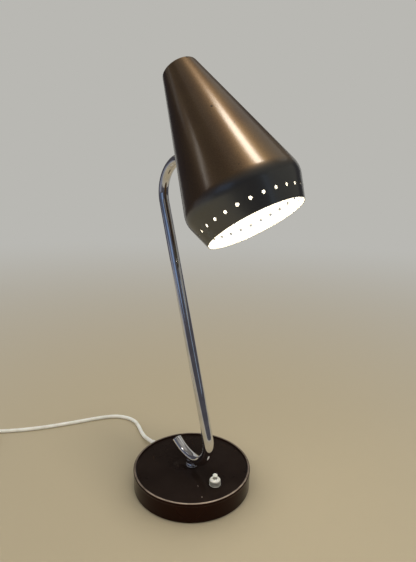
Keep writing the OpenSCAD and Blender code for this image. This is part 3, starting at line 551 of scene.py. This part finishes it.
def phenolic():
    """Phenolic resin, compression moulded: brown-black and glossy, with a faint flow in its
    filler."""
    made, tree, place = begin("phenolic", IOR=1.6)
    flow = add(tree, "TexNoise", {
        "Vector": place, "Scale": per_mm(8), "Detail": 5.0, "Distortion": 1.0})
    colour = add(tree, "ValToRGB", {"Fac": flow}, [(0.3, "#15100d"), (0.7, "#2a1e17")])
    rough = add(tree, "MapRange", {"Value": flow, "To Min": 0.18, "To Max": 0.34})
    return dress(made, colour, rough, flow, 0.01)


def steatite():
    """Steatite, pressed and glazed: hard, white and glassy."""
    made, tree, place = begin("steatite", IOR=1.55)
    cloud = add(tree, "TexNoise", {"Vector": place, "Scale": per_mm(6), "Detail": 3.0})
    colour = add(tree, "ValToRGB", {"Fac": cloud}, [(0.3, "#dedbd1"), (0.7, "#f1efe8")])
    rough = add(tree, "MapRange", {"Value": cloud, "To Min": 0.12, "To Max": 0.25})
    return dress(made, colour, rough, cloud, 0.01)


def rolled_aluminium():
    """Aluminium, rolled into the bulb's screw cap: pale, soft and slightly scuffed."""
    made, tree, place = begin("rolled_aluminium", Metallic=1.0)
    scuff = add(tree, "TexNoise", {"Vector": place, "Scale": per_mm(2.5), "Detail": 5.0})
    colour = add(tree, "ValToRGB", {"Fac": scuff}, [(0.3, "#a5a6a8"), (0.7, "#cfd0d1")])
    rough = add(tree, "MapRange", {"Value": scuff, "To Min": 0.2, "To Max": 0.4})
    return dress(made, colour, rough, scuff, 0.01)


def frosted_glass():
    """Glass, blown and etched inside, with the lamp alight: an even warm white glow with no
    outline of a wire."""
    made, tree, place = begin(
        "frosted_glass", Emission_Color=linear("#fff8ec"), Emission_Strength=9.0)
    etch = add(tree, "TexNoise", {"Vector": place, "Scale": per_mm(10), "Detail": 4.0})
    colour = add(tree, "ValToRGB", {"Fac": etch}, [(0.3, "#f1ede3"), (0.7, "#fffdf7")])
    rough = add(tree, "MapRange", {"Value": etch, "To Min": 0.45, "To Max": 0.6})
    return dress(made, colour, rough, etch, 0.01)


NODES_OF = {
    stoved_enamel: ["base_shell"],
    cast_iron: ["base_weight"],
    wool_felt: ["base_felt"],
    chromium_plate: ["collar_ring", "arm_saddle", "arm_tube", "tail_plug", "knuckle_fork",
                     "pivot_screw", "pivot_nut", "knuckle_tongue", "saddle_washer", "plug_pins"],
    zinc_plate: ["cord_clamp", "clamp_screws", "stud_nut", "inner_saddle", "holder_bracket"],
    spring_steel: ["spring_washer", "stud_washer", "switch_spring"],
    turned_brass: ["stem_nut", "holder_nipple", "holder_nut", "holder_contact", "holder_thread"],
    urea_moulding: ["switch_housing", "switch_collar", "push_button"],
    soft_vinyl: ["cord_relief", "inner_cord", "stem_flex", "cord", "cord_coil", "cord_end",
                 "plug_body"],
    polyamide: ["connector_block"],
    phenolic: ["holder_cap", "holder_body"],
    steatite: ["holder_insert"],
    rolled_aluminium: ["bulb_cap"],
    frosted_glass: ["bulb_glass"],
    metallic_lacquer: ["shade"],
}
FINISH = {}
for make_finish, node_names in NODES_OF.items():
    finish = make_finish()
    for node_name in node_names:
        FINISH[node_name] = finish
        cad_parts[node_name].data.materials.clear()
        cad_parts[node_name].data.materials.append(finish)
INSIDE = white_enamel()


# ---- Pieces ----

def piece(name, parts, body, finishes, stands_for=(), sharp=34):
    """Joins parts to one closed mesh at the origin that rides on a body.

    Each part is (points, faces) or (points, faces, number of its finish). Doubles are merged,
    faces turn outwards, and edges sharper than sharp degrees stay crisp.
    """
    starts = np.cumsum([0] + [len(part[0]) for part in parts[:-1]])
    points = np.concatenate([part[0] for part in parts]) * MM
    faces = np.concatenate([part[1] + start for part, start in zip(parts, starts)])
    numbers = np.concatenate([
        np.full(len(part[1]), part[2] if len(part) > 2 else 0) for part in parts])
    mesh = bpy.data.meshes.new(name)
    mesh.from_pydata(points.tolist(), [], faces.tolist())
    for finish in finishes:
        mesh.materials.append(finish)
    mesh.polygons.foreach_set("material_index", numbers.astype(np.int32))
    work = bmesh.new()
    work.from_mesh(mesh)
    bmesh.ops.remove_doubles(work, verts=work.verts, dist=WELD)
    bmesh.ops.dissolve_degenerate(work, dist=WELD / 10, edges=work.edges)
    bmesh.ops.recalc_face_normals(work, faces=work.faces)
    work.to_mesh(mesh)
    work.free()
    return settle(mesh, body, stands_for, sharp)


def settle(mesh, body, stands_for, sharp):
    """Makes the object of a mesh, smooths it, hangs it on its body and hides the CAD parts it
    stands for.
    """
    mesh.polygons.foreach_set("use_smooth", np.ones(len(mesh.polygons), bool))
    mesh.set_sharp_from_angle(angle=radians(sharp))
    made = set_out(mesh.name, mesh)
    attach(made, body)
    if stands_for:
        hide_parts(*stands_for)
    return made


def softened(name, node, body, round_mm):
    """A machined node as it leaves the tumbler: a merged copy whose edges a bevel rounds."""
    flat_angle, edge_angle = radians(0.5), radians(35)
    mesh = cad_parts[node].data.copy()
    mesh.name = name
    work = bmesh.new()
    work.from_mesh(mesh)
    bmesh.ops.remove_doubles(work, verts=work.verts, dist=2 * WELD)
    bmesh.ops.dissolve_limit(work, angle_limit=flat_angle, verts=work.verts, edges=work.edges)
    work.to_mesh(mesh)
    work.free()
    made = settle(mesh, body, (node,), 30)
    bevel = made.modifiers.new("edges", "BEVEL")
    bevel.width, bevel.segments = round_mm * MM, 3
    bevel.limit_method, bevel.angle_limit = "ANGLE", edge_angle
    return made


# ---- Free cord ----

def coil_line():
    """Two flat spirals, each turn a cord's thickness from the next, as the cord's centre line.

    The lower one runs inwards on the table. The cord then climbs by a smooth step, and the upper
    one runs outwards. Its height over the lower one is the square root of
    (d^2 - distance to the nearest turn^2).
    """
    pitch, step_degrees, laps = CORD_D / 360, 5.0, 5
    inward = (COIL_OUT_R - COIL_IN_R) / pitch
    t = np.arange(0, COIL_SWEEP + 1, step_degrees)
    r = np.where(t <= inward, COIL_OUT_R - pitch * t,
                 COIL_IN_R + pitch * np.maximum(t - inward - COIL_RISE, 0))
    step = np.clip((t - inward) / COIL_RISE, 0, 1)
    turns = t[:, None] % 360 + 360 * np.arange(laps)[None, :]
    away = np.abs(COIL_OUT_R - pitch * turns - r[:, None])
    away = np.where(turns <= inward, away, CORD_D).min(1)
    z = CORD_D / 2 + np.where(t < inward + COIL_RISE, CORD_D * step * step * (3 - 2 * step),
                              np.sqrt(np.maximum(CORD_D ** 2 - away ** 2, 0)))
    a = np.radians(COIL_FROM + t)
    return np.stack([COIL_AT[0] + r * np.cos(a), COIL_AT[1] + r * np.sin(a), z], 1)


def cord_line():
    """The whole cord: out of the sleeve, down to the table, off to the coil, round it and into
    the plug."""
    lay = CORD_D / 2
    start = [
        CORD_EXIT, (-109, 0, 6.6), (-121, 1.5, 4.2), (-133, 4, 2.9), (-146, 7.5, lay),
        (-159, 11, lay), (-172, 13, lay), (-185, 11, lay), (-197, 5, lay), (-207, -4, lay),
        (-214, -16, lay), (-219, -29, lay), (-223, -42, lay), (-227, -56, lay),
        (-231, -70, lay), (-235.5, -84, lay), (-240, -98, lay), (-245, -112, lay),
        (-251, -126, lay), (-257, -139, lay), (-264, -152, lay), (-271, -164, lay),
        (-278.5, -175, lay), (-286, -185, lay)]
    end = [(-256, -263, 7.9), (-245, -264.9, 7.5), (-233.5, -267, 7.1), PLUG_AT]
    return smooth_line(np.vstack([start, coil_line(), end]), step=3.0)


def tie_band():
    """A flat tie round the coil's section: two superellipses of power 5, in the plane of radius
    and height, the outer one a band's thickness off the inner."""
    tie_angle, half_width, middle_z = 20, 2.2, 6.0
    middle_r = (COIL_IN_R + COIL_OUT_R) / 2
    turn_at = radians(tie_angle) + np.linspace(-half_width, half_width, 5)[None, :] / middle_r
    cos_a, sin_a = superellipse(full_turn(72)[:, None], 5)
    layers = []
    for wide, tall in ((12.7, 5.2), (13.4, 5.9)):
        r = middle_r + wide * cos_a
        z = middle_z + tall * sin_a + 0 * turn_at
        layers.append(np.stack([COIL_AT[0] + r * np.cos(turn_at),
                                COIL_AT[1] + r * np.sin(turn_at), z], -1))
    return grid(np.concatenate([layers[0], layers[1][:, ::-1]], 1), True, True)


def plug_skin():
    """The moulded plug, lofted along X through superellipses |y/w|^p + |z/h|^p = 1.

    Width, height and power run from a round ribbed sleeve to a flat body with soft edges.
    """
    sleeve, ribs = 20, 5
    x = np.concatenate([[0, 0], np.linspace(0.2, sleeve, 45),
                        [20.6, 22, 25, 30, 38, 46, 51, 53.4, 54.6, 55, 55]])
    rib = 0.35 * np.abs(np.sin(x / sleeve * ribs * pi)) ** 0.5 * (x < sleeve)
    wide = np.interp(x, [0, 20, 22, 25, 30, 38, 46, 51, 53.4, 54.6, 55],
                     [3.5, 4.9, 9.0, 11.4, 13.2, 15.2, 16.9, 17.6, 17.3, 16.4, 14.5]) + rib
    tall = np.interp(x, [0, 20, 22, 25, 30, 51, 53.4, 54.6, 55],
                     [3.5, 4.9, 5.6, 6.4, 6.9, 6.9, 6.5, 5.6, 4.2]) + rib
    power = np.interp(x, [0, 20, 25, 30, 55], [2, 2, 2.6, 3.6, 3.6])
    wide[[0, -1]] = tall[[0, -1]] = 0
    cos_a, sin_a = superellipse(full_turn(72)[None, :], power[:, None])
    return placed(grid(np.stack([x[:, None] + 0 * cos_a, wide[:, None] * cos_a,
                                 tall[:, None] * sin_a], -1), False, True), AT_PLUG)


route = cord_line()
cord = piece("mains_cord", [round_cord(route, CORD_D / 2)], "base", [FINISH["cord"]],
             ("cord", "cord_coil", "cord_end"))
tie = piece("cord_tie", [tie_band()], "base", [FINISH["holder_body"]])
plug = piece("moulded_plug", [plug_skin()], "base", [FINISH["plug_body"]], ("plug_body",))


# ---- Base ----

def cord_sleeve():
    """The tapered sleeve, revolved about the cord where it leaves, with a flange on each side of
    the wall. Its soft ribs are 0.3 |sin 6.5 pi s|^0.4 tall, s being the fraction of its length."""
    ribs_from, ribs_long = 77.4, 18.6
    s = np.linspace(0, 1, 61)
    ribs = 4.5 - 1.05 * s + 0.3 * np.abs(np.sin(6.5 * pi * s)) ** 0.4
    flanges = rounded([
        (2.0, 71.2, 0), (5.6, 71.2, 0.3), (5.6, 72.8, 0.3), (4.5, 72.8, 0.1), (4.5, 75, 0.1),
        (5.6, 75, 0.3), (5.6, 76.4, 0.5), (4.6, 77.0, 0.2), (4.5, 77.2, 0)])
    profile = np.vstack([
        [[CORD_D / 2, 71.2]], flanges[1:], np.stack([ribs, ribs_from + ribs_long * s], 1),
        [[3.5, 97.0], [CORD_D / 2 - 0.02, 97.0]]])
    return placed(lathe(profile, 64, True), shifted(0, 0, CORD_EXIT[2]) @ turned("Y", -90))


def knurls(a, z):
    """32 upright grooves round the collar's skirt, from 0.6 to 5.2 mm above the plate: -0.5 times
    |sin 16a|^0.8."""
    return np.where((z > 0.6) & (z < 5.2), -0.5 * np.abs(np.sin(16 * a)) ** 0.8, 0)


base_profile = rounded([
    (0, PLATE_Z, 0), (71.3, PLATE_Z, 0.6), (71.9, BASE_TOP, 1.2), (BASE_R, BASE_TOP, 1.6),
    (BASE_R, 22.0, 0.35), (74.65, 21.4, 0.3), (74.65, 1.0, 0.5), (73.4, 1.0, 0.3),
    (73.4, 20.8, 0.8), (0, 21.0, 0)], 8)
piece("base_enamel", [lathe(base_profile, 256)], "base", [FINISH["base_shell"]], ("base_shell",))

ring_profile = rounded([
    (5.05, PLATE_Z, 0.1), (8.0, PLATE_Z, 0.6), (8.0, PLATE_Z + 3, 0.9),
    (5.05, PLATE_Z + 3, 0.1)], 8)
piece("foot_ring", [lathe(ring_profile, 96, True)], "base", [FINISH["collar_ring"]],
      ("collar_ring",))
piece("cord_sleeve", [cord_sleeve()], "base", [FINISH["cord_relief"]], ("cord_relief",))

# Heights of the switch's collar and button are over the plate
collar_profile = rounded([
    (0, 0.1, 0), (6.7, 0.1, 0.3), (7.0, 0.5, 0.2), (6.95, 1.2, 0.2), (6.85, 5.0, 0.2),
    (6.7, 5.8, 0.3), (6.5, 6.4, 0.3), (5.1, 8.1, 1.2), (3.5, 8.6, 0.5), (2.9, 8.3, 0.2),
    (2.4, 7.4, 0.1), (2.4, 5.0, 0), (0, 5.0, 0)], 5)
piece("switch_ring", [placed(lathe(collar_profile, 256, ripple=knurls), AT_SWITCH)], "base",
      [FINISH["switch_collar"]], ("switch_collar",))

button_profile = rounded([
    (0, -2.1, 0), (1.7, -2.1, 0.1), (1.7, 10.9, 0.3), (2.9, 11.3, 0.3), (3.05, 12.4, 0.6),
    (2.3, 13.2, 0.5), (0, 13.4, 0)], 6)
piece("push_cap", [placed(lathe(button_profile, 48), AT_SWITCH)], "push_button",
      [FINISH["push_button"]], ("push_button",))


# ---- Stem ----

def arm_line():
    """Centre line of the tube in the XZ plane: tail arc, hook arc, straight stem and neck arc,
    with the direction in that plane that is square to it. On an arc the point is
    centre + R (cos a, sin a)."""
    def bend(centre, radius, start, end, count):
        a = np.radians(np.linspace(start, end, count))
        out = np.stack([np.cos(a), 0 * a, np.sin(a)], 1)
        return np.array(centre) + radius * out, out

    up_stem = np.array([-sin(radians(LEAN)), 0, cos(radians(LEAN))])
    out_stem = np.array([cos(radians(LEAN)), 0, sin(radians(LEAN))])
    foot = np.array(STEM_FOOT)
    neck = foot + STEM_LEN * up_stem + NECK_R * out_stem
    tail = bend((0, 0, TUBE_LOW_Z + TAIL_R), TAIL_R, 270 - TAIL_ANGLE, 270, 36)
    hook = bend((0, 0, TUBE_LOW_Z + HOOK_R), HOOK_R, 270, 360 + LEAN, 64)
    top = bend(neck, NECK_R, 180 + LEAN, 90, 64)
    along = np.linspace(0, STEM_LEN, 40)[1:-1, None]
    line = np.vstack([tail[0], hook[0][1:], foot + along * up_stem, top[0]])
    out = np.vstack([tail[1], hook[1][1:], np.tile(out_stem, (len(along), 1)), -top[1]])
    return line, out


def arm_skin():
    """A circle carried along the arm's line: centre + r (cos a times out + sin a times Y).

    At the tail the wall turns round its cut edge and runs back down the bore to a closed floor.
    """
    line, out = arm_line()
    end_way = unit(line[0] - line[1])
    depth = np.array([14, 14, 0.5, 0.12, 0, 0, 0.12, 0.4])
    bore = np.array([0, BORE_R, BORE_R, BORE_R + 0.12, BORE_R + 0.35,
                     TUBE_R - 0.3, TUBE_R - 0.1, TUBE_R])
    radii = np.concatenate([bore, np.full(len(line) - 1, TUBE_R), [0]])
    line = np.vstack([line[0] - depth[:, None] * end_way, line[1:], line[-1:]])
    out = np.vstack([np.repeat(out[:1], len(depth), 0), out[1:], out[-1:]])
    a = full_turn(96)[None, :, None]
    ring = np.cos(a) * out[:, None] + np.sin(a) * np.array([0, 1.0, 0])
    return grid(line[:, None] + radii[:, None, None] * ring, False, True)


piece("bent_tube", [arm_skin()], "arm", [FINISH["arm_tube"]], ("arm_tube",))

saddle_profile = rounded([
    (0, 25.7, 0), (7.3, 25.7, 0.6), (7.3, 26.9, 0.5), (6.4, 28.2, 0.7), (6.4, 29.4, 0.7),
    (7.3, 31.2, 0.6), (7.3, 33.4, 0.25), (0, 33.4, 0)], 6)
spigot_profile = rounded([(0, 3, 0), (5, 3, 0.4), (5, 26, 0), (0, 26, 0)], 4)
piece("tube_saddle", [lathe(saddle_profile, 96), lathe(spigot_profile, 64)], "arm",
      [FINISH["arm_saddle"]], ("arm_saddle",))

softened("fork", "knuckle_fork", "arm", 0.3)
softened("tilt_screw", "pivot_screw", "arm", 0.15)
softened("thumb_nut", "pivot_nut", "arm", 0.12)
softened("tongue", "knuckle_tongue", "knuckle", 0.2)
softened("curved_washer", "saddle_washer", "shade", 0.2)


# ---- Shade ----

def shade_wall():
    """The spun wall, as a function of the angle round the axis, the distance s along the profile
    and the depth.

    Point: the profile's point at s, less depth times its outward normal, turned round the axis.
    Round each vent the border of its cell is drawn in to a circle by rings: (1-w) times the
    circle plus w times the border.
    """
    steps = 16
    top_z = BAND_H + CONE_H
    profile = rounded([(MOUTH_R, 0, 0), (SHOULDER_R, BAND_H, SHOULDER_CUT),
                       (TOP_R, top_z, TOP_CUT), (0, top_z, 0)], steps)
    far = run_along(profile)
    shoulder, brim = far[1:steps + 2], far[steps + 2:2 * steps + 3]
    way = unit(np.gradient(profile, far, axis=0))

    def at(angle, s, depth):
        r, z, dr, dz = (np.interp(s, far, v) for v in (*profile.T, *way.T))
        angle, r, z = np.broadcast_arrays(angle, np.maximum(r - depth * dz, 0), z + depth * dr)
        return np.stack([r * np.cos(angle), r * np.sin(angle), z], -1)

    # Columns of faces in a vent's cell, half the cell's length, and the depth of the mouth's edge
    per_cell, half, edge = 8, 6.4, 0.4
    vent_s = VENT_H / cos(BAND_ANGLE)
    vent_at_r = np.interp(vent_s, far, profile[:, 0])
    cell = 2 * pi / VENTS
    centres = radians(VENT_TURN) + np.arange(VENTS) * cell
    columns = radians(VENT_TURN) + np.arange(VENTS * per_cell) * cell / per_cell - cell / 2
    # One lap of a cell's border, as fractions from -1 to 1 across and along it
    lap = np.linspace(-1, 1, per_cell, endpoint=False)
    one = np.ones(per_cell)
    border = np.concatenate([np.stack(side, 1) for side in (
        (lap, -one), (one, lap), (-lap, one), (-one, -lap))])
    around = np.arctan2(border[:, 1], border[:, 0])

    def vent_rings(radius, weights, depth):
        """Rings of all the cells, as an array (cell, ring, point, 3)."""
        w = np.asarray(weights, float)[:, None]
        x = (1 - w) * radius * np.cos(around) / vent_at_r + w * border[:, 0] * cell / 2
        s = vent_s + (1 - w) * radius * np.sin(around) + w * border[:, 1] * half
        return at(centres[:, None, None] + x[None], s[None] + 0 * x[None], depth)

    def cells(rings):
        """Points and faces of every cell's rings, each ring closed on itself."""
        count, rows, across = rings.shape[:3]
        index = np.arange(count * rows * across).reshape(count, rows, across)
        index = np.concatenate([index, index[:, :, :1]], 2)
        faces = np.stack([index[:, :-1, :-1], index[:, 1:, :-1],
                          index[:, 1:, 1:], index[:, :-1, 1:]], -1)
        return rings.reshape(-1, 3), faces.reshape(-1, 4)

    low = np.linspace(edge, vent_s - half, 6)
    high = np.concatenate([
        np.linspace(vent_s + half, shoulder[0], 5)[:-1], shoulder[:-1],
        np.linspace(shoulder[-1], brim[0], 60)[:-1], brim[:-1],
        np.linspace(brim[-1], far[-1], 12)])
    parts = []
    for depth, number in ((0, 0), (SHADE_T, 1)):
        for rows in (low, high):
            skin = grid(at(columns[None, :], rows[:, None], depth), False, True)
            parts.append((*skin, number))
        parts.append((*cells(vent_rings(VENT_R + 0.12, (0, 0.3, 0.65, 1), depth)), number))
    # Punched edge of each vent, then the turned edge of the mouth
    punched = np.concatenate([
        vent_rings(VENT_R + out, (0,), depth)
        for out, depth in ((0.12, 0), (0.03, 0.12), (0, 0.35), (0, 0.8), (0.12, SHADE_T))], 1)
    parts.append((*cells(punched), 0))
    lip_s = np.array([edge, 0.12, 0, 0, 0.12, edge])
    lip_depth = np.array([0, 0.08, 0.32, 0.68, 0.92, 1]) * SHADE_T
    lip = grid(at(columns[None, :], lip_s[:, None], lip_depth[:, None]), False, True)
    parts.append((*lip, 1))
    return parts


piece("spun_shade", [placed(part, IN_SHADE) for part in shade_wall()], "shade",
      [FINISH["shade"], INSIDE], ("shade",))


# ---- Stage ----

BACKDROP = "#b9b8b3"


def make_floor():
    """A pale matte floor that fades into the backdrop's colour far from the lamp, so that no
    horizon shows. The fade follows the distance in metres to the power 0.4."""
    made, tree, place = begin("matte_floor", Base_Color=linear("#b6a98f"), Roughness=0.9)
    glow = add(tree, "Emission", {"Color": linear(BACKDROP)})
    far = add(tree, "VectorMath", {0: place}, operation="LENGTH")
    even = add(tree, "Math", {0: far, 1: 0.4}, operation="POWER")
    fade = add(tree, "MapRange", {"Value": even, "From Min": 0.5, "From Max": 1.65},
               interpolation_type="SMOOTHSTEP")
    mix = add(tree, "MixShader", {0: fade, 1: tree.nodes["Principled BSDF"], 2: glow})
    feed(tree, tree.nodes["Material Output"], {"Surface": mix})
    bpy.ops.mesh.primitive_plane_add(size=16)
    floor = bpy.context.object
    floor.name = "floor"
    floor.data.materials.append(made)


def make_card(name, part, hex_value):
    """A screen that only mirrors show: it gives chrome and lacquer their dark and light bands."""
    glow = bpy.data.materials.new(name)
    glow.use_nodes = True
    tree = glow.node_tree
    emission = add(tree, "Emission", {"Color": linear(hex_value)})
    feed(tree, tree.nodes["Material Output"], {"Surface": emission})
    mesh = bpy.data.meshes.new(name)
    mesh.from_pydata((part[0] * MM).tolist(), [], part[1].tolist())
    mesh.materials.append(glow)
    made = set_out(name, mesh)
    made.visible_camera = made.visible_diffuse = made.visible_shadow = False


def upright(radius, start, end, low, high, lean=0.0):
    """A stretch of an upright cylinder: (R cos a, R sin a, z). Its foot is turned by lean."""
    a = np.radians(np.linspace(start, end, 40)[None, :] + np.array([[lean], [0.0]]))
    z = np.array([[low], [high]]) + 0 * a
    return grid(np.stack([radius * np.cos(a), radius * np.sin(a), z], -1))


def disc(radius, z, thick, x=0, y=0):
    """A flat round slab whose underside is at height z."""
    profile = [(0, z), (radius, z), (radius, z + thick), (0, z + thick)]
    return placed(lathe(profile, 48), shifted(x, y, 0))


def make_room():
    """What the mirrors show: dim walls with a window, a doorway and paler patches, and a ceiling
    that is lit in places. The walls stand on arcs round the lamp, from angle to angle."""
    # Radius, first and last angle, foot and top, and how far the foot leans
    for name, *arc, colour in (
            ("room", 1500, -186, 100, 0, 1100, "#4d4b50"),
            ("window", 1480, -88, -56, 450, 950, "#7f93b4"),
            ("window_side", 1480, -128, -88, 420, 950, "#50586b"),
            ("pale_wall", 1470, -142, -90, 0, 400, "#82848f"),
            ("doorway", 1480, -7, 3, 300, 900, 18, "#93a4b8"),
            ("side_wall", 1490, 10, 78, 640, 1100, "#8c8a84"),
            ("transom", 1480, -142, -134, 1080, 1450, "#b8bcc0"),
            ("far_wall", 1500, 112, 174, 900, 1350, "#504c48")):
        make_card(name, upright(*arc), colour)
    # Radius, height and thickness, and the middle
    for name, *slab, colour in (
            ("ceiling", 4000, 2200, 10, "#76726d"),
            ("skylight", 1200, 2180, 10, "#a29e98"),
            ("lit_ceiling", 850, 2160, 5, 50, 1600, "#c8c5bd")):
        make_card(name, disc(*slab), colour)


def make_lights():
    """An even sky, a soft lamp high over the lamp's front, and a narrow one to the camera's left.

    The sky shows at its own level to the camera and in mirrors, and lights the rest by more.
    """
    shown, lighting = 1.0, 1.5
    sky = bpy.data.worlds.new("sky")
    sky.use_nodes = True
    tree = sky.node_tree
    ray = add(tree, "LightPath").outputs
    seen = add(tree, "Math", {0: ray["Is Camera Ray"], 1: ray["Is Glossy Ray"]},
               operation="MAXIMUM")
    seen = add(tree, "Math", {0: seen, 1: ray["Is Transmission Ray"]}, operation="MAXIMUM")
    level = add(tree, "MapRange", {"Value": seen, "To Min": lighting, "To Max": shown})
    feed(tree, tree.nodes["Background"], {"Color": linear(BACKDROP), "Strength": level})
    bpy.context.scene.world = sky
    for name, place, aim, wide, tall, watts, tint in (
            ("overhead", (0.36, 0.06, 1.66), (0.08, 0.0, 0.35), 0.25, 0.4, 5.9, "#fff8ea"),
            ("strip", (-0.567, -1.008, 0.995), (0.07, -0.05, 0.395), 0.05, 0.3, 0.3, "#fdf7ee")):
        lamp = bpy.data.lights.new(name, "AREA")
        lamp.shape, lamp.size, lamp.size_y = "RECTANGLE", wide, tall
        lamp.energy, lamp.color = watts, linear(tint)[:3]
        made = set_out(name, lamp)
        way = Vector(aim) - Vector(place)
        made.matrix_world = Matrix.LocRotScale(Vector(place), way.to_track_quat("-Z", "Y"), None)


make_floor()
make_room()
make_lights()
bpy.context.scene.view_settings.view_transform = "Standard"
